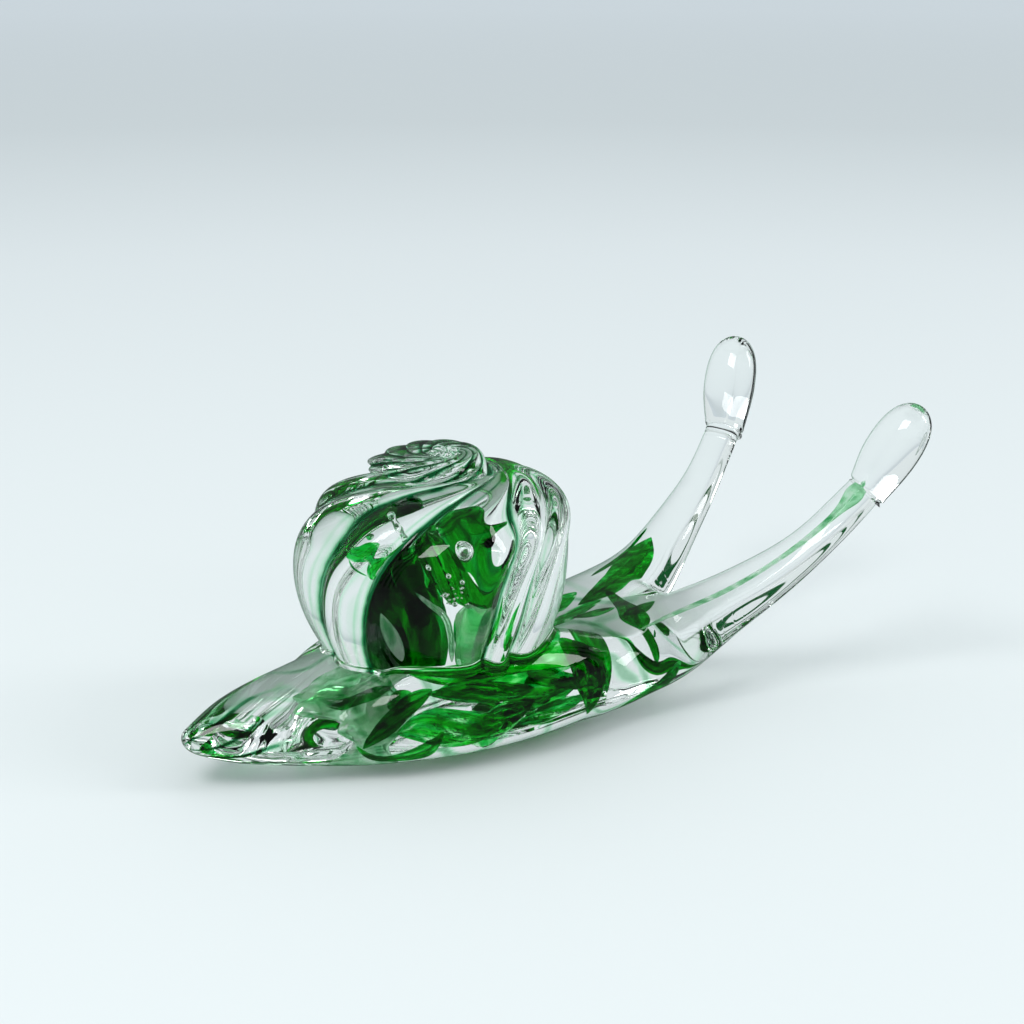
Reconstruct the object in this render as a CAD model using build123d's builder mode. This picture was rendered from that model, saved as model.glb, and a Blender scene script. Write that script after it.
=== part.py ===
"""Solid glass snail: a clear foot with a forked head, two antennae, a ribbed and twisted shell
and bits of green glass cased inside. X runs from tail to head, Y to the snail's left, Z up.
The origin is the middle of the flat that the snail rests on, under the shell."""

import os
from math import cos, pi, radians, sin, sqrt

from build123d import *

# Foot, the long gather that lies along X
tail_reach = 60.0
crotch_reach = 62.5
foot_width = 52.0
foot_height = 21.0

# Antennae, drawn out of the forked end of the head
horn_start = 30.0
horn_start_side = 11.5
horn_start_height = 9.6
horn_half_width = 12.4
horn_half_height = 8.9
neck_side = 28.2
right_neck_reach = 96.5
right_neck_height = 44.8
left_neck_reach = 101.0
left_neck_height = 46.2

# Drops on the ends of the antennae
tip_length = 25.0
tip_half_width = 6.9
tip_half_thickness = 5.4
tip_overhang = 0.8
tip_lean_out = 5.5
right_tip_lean_forward = 9.5
left_tip_lean_forward = 7.6
tip_bend_share = 0.33

# Shell, a ribbed ball that was twisted while soft
shell_seat = 11.0
shell_height = 47.0
shell_radius = 30.6
groove_depth = 3.0
rib_count = 9
points_per_rib = 4
neck_twist = 92.0
neck_forward = 9.2
neck_side_shift = -3.7

# Crown, the wrung end of the ribs, folded over towards the tail
crown_height = 5.6
crown_radius = 12.3
crown_groove = 2.2
crown_twist = 150.0
crown_forward = -1.2
crown_side_shift = 0.6

# Rosette that closes the crown
seal_radius = 3.6
seal_top_radius = 1.8
seal_height = 1.1
seal_depth = 0.9
seal_groove = 0.5

# Foot sections: place along X, half width, underside and top
foot_section_shares = (
    (-1.000, 0.040, 0.460, 0.520),
    (-0.950, 0.150, 0.330, 0.630),
    (-0.800, 0.370, 0.150, 0.795),
    (-0.560, 0.630, 0.015, 0.905),
    (-0.280, 0.890, -0.070, 0.950),
    (0.100, 1.000, -0.070, 0.905),
    (0.420, 0.970, -0.030, 0.895),
    (0.620, 0.800, 0.050, 0.920),
    (0.840, 0.420, 0.220, 0.970),
    (1.000, 0.080, 0.540, 0.860),
)

# Horn stations: run along X, spread, rise, half width, half height
horn_station_shares = (
    (0.000, 0.000, 0.000, 0.903, 0.831),
    (0.211, 0.048, 0.057, 1.000, 1.000),
    (0.406, 0.090, 0.159, 0.952, 0.865),
    (0.541, 0.234, 0.276, 0.766, 0.697),
    (0.722, 0.533, 0.494, 0.540, 0.506),
    (0.872, 0.772, 0.727, 0.427, 0.416),
    (1.000, 1.000, 1.000, 0.371, 0.416),
)
fork_index = 3

# Tip sections: place along the drop, share of its half sizes
tip_section_shares = (
    (0.00, 0.70),
    (0.12, 0.79),
    (0.30, 0.94),
    (0.50, 1.00),
    (0.70, 0.95),
    (0.85, 0.78),
    (0.95, 0.50),
    (1.00, 0.15),
)

# Shell levels: height, radius, twist, groove depth, shift towards the neck
shell_level_shares = (
    (0.000, 0.670, 0.040, 0.40, 0.00),
    (0.128, 0.778, 0.045, 0.53, 0.00),
    (0.298, 0.902, 0.060, 0.67, 0.00),
    (0.468, 0.977, 0.090, 0.77, 0.00),
    (0.638, 1.000, 0.140, 0.87, 0.02),
    (0.777, 0.961, 0.215, 0.97, 0.10),
    (0.883, 0.843, 0.315, 1.00, 0.26),
    (0.953, 0.660, 0.450, 1.00, 0.48),
    (0.987, 0.464, 0.620, 0.80, 0.74),
    (1.000, 0.275, 1.000, 0.45, 1.00),
)

# Crown levels: height, radius, twist, groove depth, shift from the neck to the middle
crown_level_shares = (
    (0.13, 0.78, 0.10, 0.75, 0.45),
    (0.42, 0.96, 0.28, 1.00, 0.85),
    (0.70, 1.00, 0.45, 1.00, 1.00),
    (0.93, 0.84, 0.68, 0.80, 1.00),
    (1.00, 0.58, 1.00, 0.50, 0.96),
)

# Green bits in the shell, in shares of the shell radius: path, half width and half thickness,
# with the heading of each bit's width in degrees and the level that the paths count from
core_level_share = 0.62
core_bit_shares = {
    "core_hood": (
        -33,
        ((0.10, 0.10, -0.50, 0.20, 0.10), (0.13, 0.08, -0.25, 0.29, 0.14),
         (0.18, 0.03, 0.00, 0.24, 0.12), (0.24, -0.05, 0.24, 0.06, 0.04)),
    ),
    "core_left_petal": (
        -48,
        ((-0.24, 0.02, -0.50, 0.12, 0.08), (-0.29, 0.05, -0.30, 0.19, 0.12),
         (-0.26, 0.06, -0.08, 0.17, 0.10), (-0.16, 0.06, 0.10, 0.05, 0.03)),
    ),
    "core_light_petal": (
        -30,
        ((0.02, -0.26, -0.52, 0.10, 0.06), (0.03, -0.28, -0.36, 0.14, 0.08),
         (0.05, -0.27, -0.20, 0.10, 0.06), (0.08, -0.24, -0.10, 0.03, 0.02)),
    ),
    "core_right_petal": (
        20,
        ((0.32, -0.34, -0.46, 0.09, 0.06), (0.40, -0.32, -0.34, 0.13, 0.08),
         (0.46, -0.24, -0.20, 0.10, 0.06), (0.48, -0.14, -0.08, 0.03, 0.02)),
    ),
    "core_leaf": (
        -33,
        ((-0.46, 0.00, 0.06, 0.04, 0.03), (-0.42, -0.02, 0.13, 0.08, 0.05),
         (-0.36, -0.05, 0.20, 0.08, 0.05), (-0.28, -0.08, 0.25, 0.03, 0.02)),
    ),
}

# Green bits in the foot: X in shares of the crotch reach, Y of the half width, Z of the height,
# then half width and half thickness in shares of the height, and again a heading in degrees
foot_bit_shares = {
    "tail_veil": (
        90,
        ((-0.58, -0.02, 0.42, 0.12, 0.07), (-0.46, -0.06, 0.50, 0.38, 0.17),
         (-0.32, -0.06, 0.56, 0.50, 0.19), (-0.20, -0.04, 0.58, 0.30, 0.12)),
    ),
    "belly_swirl": (
        80,
        ((-0.40, -0.40, 0.20, 0.10, 0.05), (-0.32, -0.48, 0.20, 0.20, 0.08),
         (-0.22, -0.50, 0.24, 0.20, 0.08), (-0.14, -0.44, 0.34, 0.08, 0.04)),
    ),
    "near_patch": (
        90,
        ((-0.13, -0.58, 0.24, 0.10, 0.05), (-0.05, -0.62, 0.32, 0.20, 0.11),
         (0.05, -0.62, 0.36, 0.20, 0.11), (0.13, -0.56, 0.34, 0.08, 0.05)),
    ),
    "middle_patch": (
        90,
        ((0.14, -0.36, 0.44, 0.12, 0.05), (0.22, -0.42, 0.46, 0.24, 0.10),
         (0.31, -0.42, 0.46, 0.22, 0.10), (0.38, -0.34, 0.44, 0.08, 0.05)),
    ),
    "saddle_band": (
        90,
        ((-0.10, 0.10, 0.68, 0.16, 0.04), (0.04, 0.08, 0.72, 0.46, 0.07),
         (0.22, 0.06, 0.72, 0.48, 0.07), (0.40, 0.04, 0.68, 0.16, 0.04)),
    ),
    "head_patch": (
        90,
        ((0.44, -0.50, 0.36, 0.10, 0.06), (0.51, -0.48, 0.44, 0.26, 0.16),
         (0.57, -0.44, 0.50, 0.24, 0.16), (0.62, -0.40, 0.54, 0.08, 0.06)),
    ),
    "far_patch": (
        80,
        ((0.42, 0.28, 0.62, 0.10, 0.04), (0.52, 0.32, 0.66, 0.24, 0.08),
         (0.62, 0.34, 0.70, 0.22, 0.08), (0.70, 0.34, 0.74, 0.06, 0.04)),
    ),
    "fork_patch": (
        100,
        ((0.74, -0.06, 0.66, 0.08, 0.05), (0.79, -0.12, 0.68, 0.20, 0.10),
         (0.84, -0.14, 0.70, 0.18, 0.10), (0.89, -0.12, 0.72, 0.06, 0.05)),
    ),
}

# Colour that follows a stalk: stations along the horn, half width and half thickness
streak_shares = (
    (0.30, 0.04, 0.03),
    (0.37, 0.20, 0.14),
    (0.45, 0.24, 0.16),
    (0.53, 0.12, 0.08),
)
thread_shares = (
    (0.42, 0.10, 0.05),
    (0.56, 0.08, 0.05),
    (0.70, 0.05, 0.05),
    (0.86, 0.05, 0.05),
    (0.98, 0.14, 0.10),
)


def between(start, end, share):
    """The value a share of the way from start to end."""
    return start + (end - start) * share


def square_planes(points, across):
    """A plane at each point, square to the path, with its X along the across direction."""
    planes = []
    for index, point in enumerate(points):
        before = points[max(index - 1, 0)]
        after = points[min(index + 1, len(points) - 1)]
        along = (after - before).normalized()
        level = (across - along * across.dot(along)).normalized()
        planes.append(Plane(origin=point, x_dir=level, z_dir=along))
    return planes


def ribbed_points(radius, groove, twist):
    """Points round one section: broad rounded ribs with narrow grooves between them."""
    points = []
    point_count = points_per_rib * rib_count
    for step in range(point_count):
        turn = step * 2 * pi / point_count
        crest_share = abs(sin(rib_count * turn / 2))
        reach = radius - groove * (1 - sqrt(crest_share))
        points.append((reach * cos(turn + twist), reach * sin(turn + twist)))
    return points


def export(piece, name):
    """Label a finished piece and write it to its own file."""
    piece.part.label = name
    export_step(piece.part, f"parts/{name}.step")


os.makedirs("parts", exist_ok=True)
half_foot = foot_width / 2
upward = Vector(0, 0, 1)


def horn_point(run, spread, rise, side):
    """A point on a horn's middle line; side is -1 for the right horn and 1 for the left."""
    neck_reach = left_neck_reach if side > 0 else right_neck_reach
    neck_height = left_neck_height if side > 0 else right_neck_height
    return Vector(
        between(horn_start, neck_reach, run),
        side * between(horn_start_side, neck_side, spread),
        between(horn_start_height, neck_height, rise),
    )


def horn_planes(side):
    """Planes square to the horn's middle line, one at each of its stations."""
    points = [horn_point(*row[:3], side) for row in horn_station_shares]
    outward = Vector(0, side, 0)
    return square_planes(points, outward)


# Whole horns, root to neck
horns = {}
for side in (-1, 1):
    with BuildPart() as horn:
        for plane, row in zip(horn_planes(side), horn_station_shares):
            with BuildSketch(plane):
                Ellipse(horn_half_width * row[3], horn_half_height * row[4])
        loft()
    horns[side] = horn.part

# Each horn parted at the fork: its root belongs to the head, its stalk stands free
roots = {}
stalks = {}
for side in (-1, 1):
    fork_plane = horn_planes(side)[fork_index]
    with BuildPart() as root:
        add(horns[side])
        split(bisect_by=fork_plane, keep=Keep.BOTTOM)
    roots[side] = root.part
    with BuildPart() as stalk:
        add(horns[side])
        split(bisect_by=fork_plane, keep=Keep.TOP)
    stalks[side] = stalk.part

# Outer form of the foot, with the roots of both horns and the flat that it rests on
with BuildPart() as gather:
    for place, half_width, underside, top in foot_section_shares:
        reach = tail_reach if place < 0 else crotch_reach
        middle = foot_height * (underside + top) / 2
        with BuildSketch(Plane(origin=(reach * place, 0, middle), x_dir=(0, 0, -1), z_dir=(1, 0, 0))):
            Ellipse(foot_height * (top - underside) / 2, half_foot * half_width)
    loft()
    for side in (-1, 1):
        add(roots[side])
    split(bisect_by=Plane.XY, keep=Keep.TOP)

# Outer form of the shell, from inside the foot up to the neck
neck_centre = Vector(neck_forward, neck_side_shift, shell_seat + shell_height)
with BuildPart() as ball:
    for height, radius, twist, groove, shift in shell_level_shares:
        level = (neck_forward * shift, neck_side_shift * shift, shell_seat + shell_height * height)
        with BuildSketch(Plane(origin=level)):
            with BuildLine():
                Spline(
                    *ribbed_points(shell_radius * radius, groove_depth * groove, radians(neck_twist * twist)),
                    periodic=True,
                )
            make_face()
    loft()
    add(gather.part, mode=Mode.SUBTRACT)

# Crown: it starts on the shell's neck section and folds over
neck_row = shell_level_shares[-1]
crown_centre = Vector(crown_forward, crown_side_shift, neck_centre.Z)
with BuildPart() as bun:
    with BuildSketch(Plane(origin=neck_centre)):
        with BuildLine():
            Spline(
                *ribbed_points(shell_radius * neck_row[1], groove_depth * neck_row[3], radians(neck_twist)),
                periodic=True,
            )
        make_face()
    for height, radius, twist, groove, shift in crown_level_shares:
        middle = neck_centre + (crown_centre - neck_centre) * shift + upward * crown_height * height
        with BuildSketch(Plane(origin=middle)):
            with BuildLine():
                Spline(
                    *ribbed_points(
                        crown_radius * radius,
                        crown_groove * groove,
                        radians(neck_twist + crown_twist * twist),
                    ),
                    periodic=True,
                )
            make_face()
    loft()
    split(bisect_by=Plane(origin=neck_centre), keep=Keep.TOP)

# Rosette, a fluted button let into the top of the crown
top_row = crown_level_shares[-1]
seal_centre = neck_centre + (crown_centre - neck_centre) * top_row[4] + upward * (crown_height - seal_depth)
with BuildPart() as crown_seal:
    for height, radius in (
        (0, seal_radius),
        (seal_depth, seal_radius),
        (seal_depth + seal_height, seal_top_radius),
    ):
        with BuildSketch(Plane(origin=seal_centre + upward * height)):
            with BuildLine():
                Spline(*ribbed_points(radius, seal_groove, 0), periodic=True)
            make_face()
    loft(ruled=True)
export(crown_seal, "crown_seal")

with BuildPart() as crown:
    add(bun.part)
    add(crown_seal.part, mode=Mode.SUBTRACT)
export(crown, "crown")


def flowed_bit(points, half_widths, half_thicknesses, across):
    """A streak of colour: ellipses of these half sizes, square to a path, lofted."""
    with BuildPart() as bit:
        for plane, half_width, half_thickness in zip(
            square_planes(points, across), half_widths, half_thicknesses
        ):
            with BuildSketch(plane):
                Ellipse(half_width, half_thickness)
        loft()
    return bit


# Green bits inside the shell
core_bits = []
shell_middle = Vector(0, 0, shell_seat + shell_height * core_level_share)
for name, (heading, rows) in core_bit_shares.items():
    bit = flowed_bit(
        [shell_middle + Vector(*row[:3]) * shell_radius for row in rows],
        [shell_radius * row[3] for row in rows],
        [shell_radius * row[4] for row in rows],
        Vector(cos(radians(heading)), sin(radians(heading)), 0),
    )
    export(bit, name)
    core_bits.append(bit.part)

# Green bits inside the foot
foot_bits = []
for name, (heading, rows) in foot_bit_shares.items():
    bit = flowed_bit(
        [Vector(crotch_reach * row[0], half_foot * row[1], foot_height * row[2]) for row in rows],
        [foot_height * row[3] for row in rows],
        [foot_height * row[4] for row in rows],
        Vector(cos(radians(heading)), sin(radians(heading)), 0),
    )
    export(bit, name)
    foot_bits.append(bit.part)


def along_horn(share, side):
    """A point on the horn's middle line, a share of its run from root to neck."""
    rows = horn_station_shares
    index = max(i for i, row in enumerate(rows[:-1]) if row[0] <= share)
    local = (share - rows[index][0]) / (rows[index + 1][0] - rows[index][0])
    start = horn_point(*rows[index][:3], side)
    end = horn_point(*rows[index + 1][:3], side)
    return start + (end - start) * local


# Colour that runs into the left stalk and up the right one
horn_bits = {}
for name, rows, side in (
    ("left_antenna_streak", streak_shares, 1),
    ("right_antenna_thread", thread_shares, -1),
):
    bit = flowed_bit(
        [along_horn(row[0], side) for row in rows],
        [horn_half_width * row[1] for row in rows],
        [horn_half_height * row[2] for row in rows],
        Vector(0, side, 0),
    )
    export(bit, name)
    horn_bits[side] = bit.part

# Clear foot, cast round its colour
with BuildPart() as foot:
    add(gather.part)
    for bit in foot_bits:
        add(bit, mode=Mode.SUBTRACT)
    for side in (-1, 1):
        add(horn_bits[side], mode=Mode.SUBTRACT)
export(foot, "foot")

# Clear shell, cast round its colour
with BuildPart() as shell:
    add(ball.part)
    for bit in core_bits:
        add(bit, mode=Mode.SUBTRACT)
export(shell, "shell")

# Drops on the ends of the horns, and the clear stalks that end in them
for side, name in ((-1, "right_antenna"), (1, "left_antenna")):
    neck_plane = horn_planes(side)[-1]
    lean_forward = left_tip_lean_forward if side > 0 else right_tip_lean_forward
    lean = Vector(lean_forward, side * tip_lean_out, 0)
    climb = sqrt(tip_length**2 - lean.length**2)
    tip_axis = (lean + upward * climb).normalized()
    tip_start = neck_plane.origin - upward * tip_overhang + lean.normalized() * tip_overhang
    with BuildPart() as tip:
        for place, size in tip_section_shares:
            middle = tip_start + tip_axis * (tip_length * place)
            heading = between(neck_plane.z_dir, tip_axis, min(1, place / tip_bend_share)).normalized()
            level = Plane(origin=middle, x_dir=neck_plane.x_dir, z_dir=heading)
            with BuildSketch(level):
                Ellipse(tip_half_width * size, tip_half_thickness * size)
        loft()
    export(tip, name + "_tip")

    with BuildPart() as antenna:
        add(stalks[side])
        add(tip.part, mode=Mode.SUBTRACT)
        add(horn_bits[side], mode=Mode.SUBTRACT)
    export(antenna, name)
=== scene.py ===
"""A solid, hand-worked glass snail: clear glass cased over patches of emerald green.
Sizes are in millimetres and meshes in metres, X from tail to head, Y to the snail's left, Z up."""

import bmesh
import bpy
import numpy as np
from mathutils import Matrix, Vector


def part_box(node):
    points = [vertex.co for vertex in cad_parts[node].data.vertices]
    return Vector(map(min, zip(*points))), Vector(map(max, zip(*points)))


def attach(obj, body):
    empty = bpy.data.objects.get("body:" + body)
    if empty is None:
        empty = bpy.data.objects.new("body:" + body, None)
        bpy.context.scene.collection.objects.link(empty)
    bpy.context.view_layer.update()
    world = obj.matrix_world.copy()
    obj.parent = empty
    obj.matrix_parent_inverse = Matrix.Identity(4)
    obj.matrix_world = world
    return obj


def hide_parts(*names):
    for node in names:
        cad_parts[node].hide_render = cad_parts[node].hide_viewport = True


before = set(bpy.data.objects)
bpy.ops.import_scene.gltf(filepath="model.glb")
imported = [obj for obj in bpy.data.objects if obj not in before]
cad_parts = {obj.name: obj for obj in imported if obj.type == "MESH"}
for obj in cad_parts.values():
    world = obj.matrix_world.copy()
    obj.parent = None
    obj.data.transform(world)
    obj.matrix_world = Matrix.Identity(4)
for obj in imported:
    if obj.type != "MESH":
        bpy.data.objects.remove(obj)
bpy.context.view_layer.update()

# The foot is one long gather of clear glass, marvered flat underneath and drawn to a point at
# the tail. Its head is pinched into a fork, and an antenna is pulled out of each end of it, so
# one surface runs from the tail to both necks.
mm = 0.001
tail_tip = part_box("foot")[0].x / mm

# Foot rows: place along X, half width, underside and top
foot_rows = np.array((
    (tail_tip, 0.0, 10.4, 10.4),
    (-59.2, 2.4, 8.3, 11.9),
    (-56.0, 4.8, 6.2, 13.7),
    (-50.0, 8.6, 3.8, 16.2),
    (-42.0, 12.5, 1.8, 17.9),
    (-33.0, 16.6, 0.2, 19.1),
    (-20.0, 22.2, -1.4, 19.9),
    (0.0, 25.6, -1.6, 19.1),
    (20.0, 25.9, -1.1, 18.8),
    (34.0, 23.6, -0.2, 18.9),
    (46.0, 16.6, 2.4, 20.0),
    (54.0, 9.4, 6.0, 20.6),
    (58.5, 4.6, 9.6, 20.4),
    (60.8, 0.4, 15.0, 17.6),
))

# Horn rows, root to neck: place along X, side, height, half width and half height
horn_rows = np.array((
    (30.0, 11.5, 9.6, 11.0, 7.4),
    (44.0, 12.3, 11.6, 12.2, 8.7),
    (57.0, 13.0, 15.2, 11.6, 7.5),
    (66.0, 15.4, 19.3, 9.3, 6.0),
    (78.0, 20.4, 27.0, 6.6, 4.4),
    (88.0, 24.4, 35.2, 5.2, 3.7),
    (96.5, 28.2, 44.8, 4.5, 3.6),
))

# The left horn was drawn out a little further: its reach along each axis over the right one's
left_stretch = np.array((71.0, 16.7, 36.6)) / (66.5, 16.7, 35.2)
fuse_reach = 5.0
root_slope = 0.3
belly_reach = 1.6
least_half = 0.05
tiny = 1e-9
ripple_height = 0.16
ripple_start = 15.0

# Shoulders that rose beside the shell when it was set on: middle, half sizes
shoulders = (
    ((4.0, -17.0, 13.6), (33.0, 10.6, 11.4)),
    ((4.0, 17.0, 11.4), (28.0, 10.0, 10.2)),
)
shoulder_reach = 4.0


def spline(knots, rows):
    """The natural cubic spline through the rows: the second slopes M solve
    h0 M0 + 2(h0 + h1) M1 + h1 M2 = 6(slope after - slope before) at each inner knot."""
    gaps = np.diff(knots)
    count = len(knots)
    system = np.eye(count)
    inner = np.arange(1, count - 1)
    system[inner, inner - 1] = gaps[:-1]
    system[inner, inner] = 2 * (gaps[:-1] + gaps[1:])
    system[inner, inner + 1] = gaps[1:]
    slopes = np.diff(rows, axis=0) / gaps[:, None]
    bend = np.zeros_like(rows)
    bend[1:-1] = 6 * np.diff(slopes, axis=0)
    bend = np.linalg.solve(system, bend)

    def at(place):
        """The row at each place along the spline."""
        place = np.clip(place, knots[0], knots[-1])
        k = np.clip(np.searchsorted(knots, place) - 1, 0, count - 2)
        after = (knots[k + 1] - place)[..., None]
        before = (place - knots[k])[..., None]
        gap = gaps[k][..., None]
        cubic = (bend[k] * after**3 + bend[k + 1] * before**3) / (6 * gap)
        from_before = (rows[k] / gap - bend[k] * gap / 6) * after
        from_after = (rows[k + 1] / gap - bend[k + 1] * gap / 6) * before
        return cubic + from_before + from_after

    return at


foot_at = spline(np.sqrt(foot_rows[:, 0] - tail_tip), foot_rows[:, 1:])
horn_start = horn_rows[0, 0]

# Side -1 is the snail's right, which the photo shows, and 1 is its left
horn_at = {}
horn_end = {}
for side, stretch in ((-1, np.ones(3)), (1, left_stretch)):
    rows = horn_rows.copy()
    rows[:, :3] = rows[0, :3] + (rows[:, :3] - rows[0, :3]) * stretch
    rows[:, 1] *= side
    horn_at[side] = spline(rows[:, 0], rows)
    horn_end[side] = rows[-1, 0]


def length(vectors):
    """The length of each vector, as a column."""
    return np.linalg.norm(vectors, axis=-1, keepdims=True)


def unit(vectors):
    """Each vector at length one."""
    return vectors / length(vectors)


def dot(a, b):
    """The dot product of each pair of vectors, as a column."""
    return np.sum(a * b, axis=-1, keepdims=True)


def oval_gap(across, up, half_across, half_up):
    """Signed gap to an ellipse, near its edge: k(k - 1)/m, where k is the length of the point
    over the half sizes and m its length over their squares."""
    k = np.hypot(across / half_across, up / half_up) + tiny
    m = np.hypot(across / half_across**2, up / half_up**2) + tiny
    return k * (k - 1) / m


def melt(a, b, reach):
    """The lesser of two gaps, rounded where they differ by under a reach, as fused glass is."""
    share = np.clip(0.5 + 0.5 * (b - a) / reach, 0, 1)
    return b + (a - b) * share - reach * share * (1 - share)


def horn_frame(place, side):
    """Middle, direction, sideways and upward units, and half sizes of a horn at places along X."""
    step = 0.5
    row = horn_at[side](place)
    along = unit(horn_at[side](place + step)[..., :3] - horn_at[side](place - step)[..., :3])
    outward = np.array((0.0, side, 0.0))
    across = unit(outward - along * dot(along, outward))
    return row[..., :3], along, across, np.cross(along, across) * side, row[..., 3], row[..., 4]


def horn_gap(points, side):
    """Gap to a horn: the point is set square to the middle line, then measured to the ellipse there."""
    middle, along, *_ = horn_frame(np.clip(points[..., 0], horn_start, horn_end[side]), side)
    place = points[..., 0] + (dot(points - middle, along) * along)[..., 0]
    place = np.clip(place, horn_start, horn_end[side])
    middle, along, across, up, half_across, half_up = horn_frame(place, side)
    off = points - middle
    gap = oval_gap(dot(off, across)[..., 0], dot(off, up)[..., 0], half_across, half_up)
    return gap + root_slope * np.maximum(horn_start - points[..., 0], 0)


def ramp(distance, reach):
    """A share that rises evenly from 0 to 1 over a reach."""
    return np.clip(distance / reach, 0, 1)


def foot_gap(points):
    """Gap to the whole foot: the body's ellipse, both shoulders and both horns melted together, a
    slow hand-worked ripple, and a flat underneath."""
    x, y, z = np.moveaxis(points, -1, 0)
    half_width, underside, top = np.moveaxis(foot_at(np.sqrt(np.maximum(x - tail_tip, 0))), -1, 0)
    half_height = np.maximum((top - underside) / 2, least_half)
    gap = oval_gap(y, z - (top + underside) / 2, np.maximum(half_width, least_half), half_height)
    gap = gap + np.maximum(x - foot_rows[-1, 0], 0)
    for middle, half in shoulders:
        scaled = (points - middle) / half
        k = np.linalg.norm(scaled, axis=-1) + tiny
        lump = k * (k - 1) / (np.linalg.norm(scaled / half, axis=-1) + tiny)
        gap = melt(gap, lump, shoulder_reach)
    for side in (-1, 1):
        gap = melt(gap, horn_gap(points, side), fuse_reach)
    ripple = ripple_height * np.sin(x / 7.1 + y / 9.0) * np.sin(y / 6.3 - z / 5.2 + 0.7)
    gap = gap + ripple * ramp(x - tail_tip, ripple_start)
    return -melt(-gap, z, belly_reach)


halvings = 24
upward = np.array((0.0, 0.0, 1.0))
highest_rise = 20.0


def last_inside(inside, near, far, rounds=halvings):
    """The last place that is inside, between near ones and far ones, found by halving."""
    for _ in range(rounds):
        middle = (near + far) / 2
        held = inside(middle)
        near = np.where(held, middle, near)
        far = np.where(held, far, middle)
    return near


def reach_out(start, heading, limit):
    """How far each ray runs before it leaves the foot's glass."""
    near = np.zeros(heading.shape[:-1])
    return last_inside(lambda run: foot_gap(start + heading * run[..., None]) < 0, near, near + limit)


seam_levels = np.linspace(0.5, 22, 44)
fork_between = (45.0, 80.0)
fork_halvings = 30


def seam_heights(places):
    """Top and underside of the glass in the middle plane, from the middle of what is solid there."""
    grid = np.stack(np.broadcast_arrays(places[:, None], 0.0, seam_levels[None, :]), -1)
    deepest = seam_levels[np.argmin(foot_gap(grid), axis=1)]
    start = np.stack((places, np.zeros_like(places), deepest), -1)
    rising = np.broadcast_to(upward, start.shape)
    top = deepest + reach_out(start, rising, highest_rise)
    low = deepest - reach_out(start, -rising, highest_rise)
    return top, low, foot_gap(start)


def fork_place():
    """Where the fork opens: the last place along X with glass in the middle plane."""
    near, far = np.array(fork_between)[:, None]
    return last_inside(lambda place: seam_heights(place)[2] < 0, near, far, fork_halvings)[0]


# Where the rings lie along X: up to the fork, on to the parting from the antennae, on to the necks
fork_x = fork_place()
parting_x = 66.0
body_steps = 190
root_steps = 8
stalk_steps = 56
round_steps = 120

# Where the rays' starts leave the half body for the horn, how they part, and how the rings turn
aim_start = 34.0
aim_margin = 4.0
aim_share = 0.45
turn_length = 14.0
longest_ray = 40.0


def eased(distance, reach):
    """A share that rises gently from 0 to 1 over a reach: s^2 (3 - 2s), with s the even share."""
    share = ramp(distance, reach)
    return share * share * (3 - 2 * share)


def crowded(count):
    """Shares from 0 to 1 that lie closer together at both ends."""
    return (1 - np.cos(np.linspace(0, np.pi, count))) / 2


def limb(side):
    """Rings of points round one half of the foot and its horn, from the tail to the neck. A ring's
    rays fan out from a point that moves from the middle of the half body to the middle of the
    horn. Before the fork they stop at the plane between the halves, whose edges are the seam."""
    body_x = tail_tip + (fork_x - tail_tip) * crowded(body_steps)
    root_x = np.linspace(fork_x, parting_x, root_steps + 1)[1:]
    stalk_x = np.linspace(parting_x, horn_end[side], stalk_steps + 1)[1:]
    x = np.concatenate((body_x, root_x, stalk_x))
    half_width, underside, top = np.moveaxis(foot_at(np.sqrt(np.maximum(x - tail_tip, 0))), -1, 0)
    middle, along, *_ = horn_frame(np.maximum(x, horn_start), side)
    ease = eased(x - aim_start, fork_x - aim_start - aim_margin)[:, None]
    body_middle = np.stack((x, side * aim_share * half_width, (np.maximum(underside, 0) + top) / 2), -1)
    horn_middle = np.column_stack((x, middle[:, 1:]))
    start = body_middle + (horn_middle - body_middle) * ease
    turn = eased(x - fork_x, turn_length)[:, None]
    square = unit(np.array((1.0, 0.0, 0.0)) * (1 - turn) + along * turn)
    outward = unit(np.array((0.0, side, 0.0)) - square * square[:, 1:2] * side)
    up = np.cross(square, outward) * side
    ring_top, ring_low, _ = seam_heights(body_x)
    fork_z = (ring_top[-1] + ring_low[-1]) / 2
    last = body_steps - 1
    seam = np.full((len(x), 2), np.arctan2(fork_z - start[last, 2], -abs(start[last, 1])))
    before = slice(0, last)
    seam[before, 0] = np.arctan2(ring_top[before] - start[before, 2], -np.abs(start[before, 1]))
    seam[before, 1] = np.arctan2(ring_low[before] - start[before, 2], -np.abs(start[before, 1]))
    seam = seam % (2 * np.pi) - (0, 2 * np.pi)
    share = np.linspace(0, 1, round_steps + 1)
    angle = seam[:, :1] + (seam[:, 1:] - seam[:, :1]) * share
    heading = outward[:, None] * np.cos(angle)[..., None] + up[:, None] * np.sin(angle)[..., None]
    inward = np.maximum(-heading[..., 1] * side, 1e-6)
    limit = np.minimum(longest_ray, np.abs(start[:, 1])[:, None] / inward)
    rings = start[:, None] + heading * reach_out(start[:, None], heading, limit)[..., None]
    rings[before, 0] = np.stack((x[before], 0 * x[before], ring_top[before]), -1)
    rings[before, -1] = np.stack((x[before], 0 * x[before], ring_low[before]), -1)
    rings[0] = (tail_tip, 0.0, (underside[0] + top[0]) / 2)
    rings[last, (0, -1), :] = (fork_x, 0.0, fork_z)
    rings[body_steps:, -1] = rings[body_steps:, 0]
    return rings


def grid_faces(rings, columns, first=0):
    """Quads between neighbouring rings of a grid of points, rings by columns, open at both ends."""
    low = first + np.arange(rings - 1)[:, None] * columns + np.arange(columns - 1)
    return np.stack((low, low + 1, low + columns + 1, low + columns), -1).reshape(-1, 4)


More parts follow.
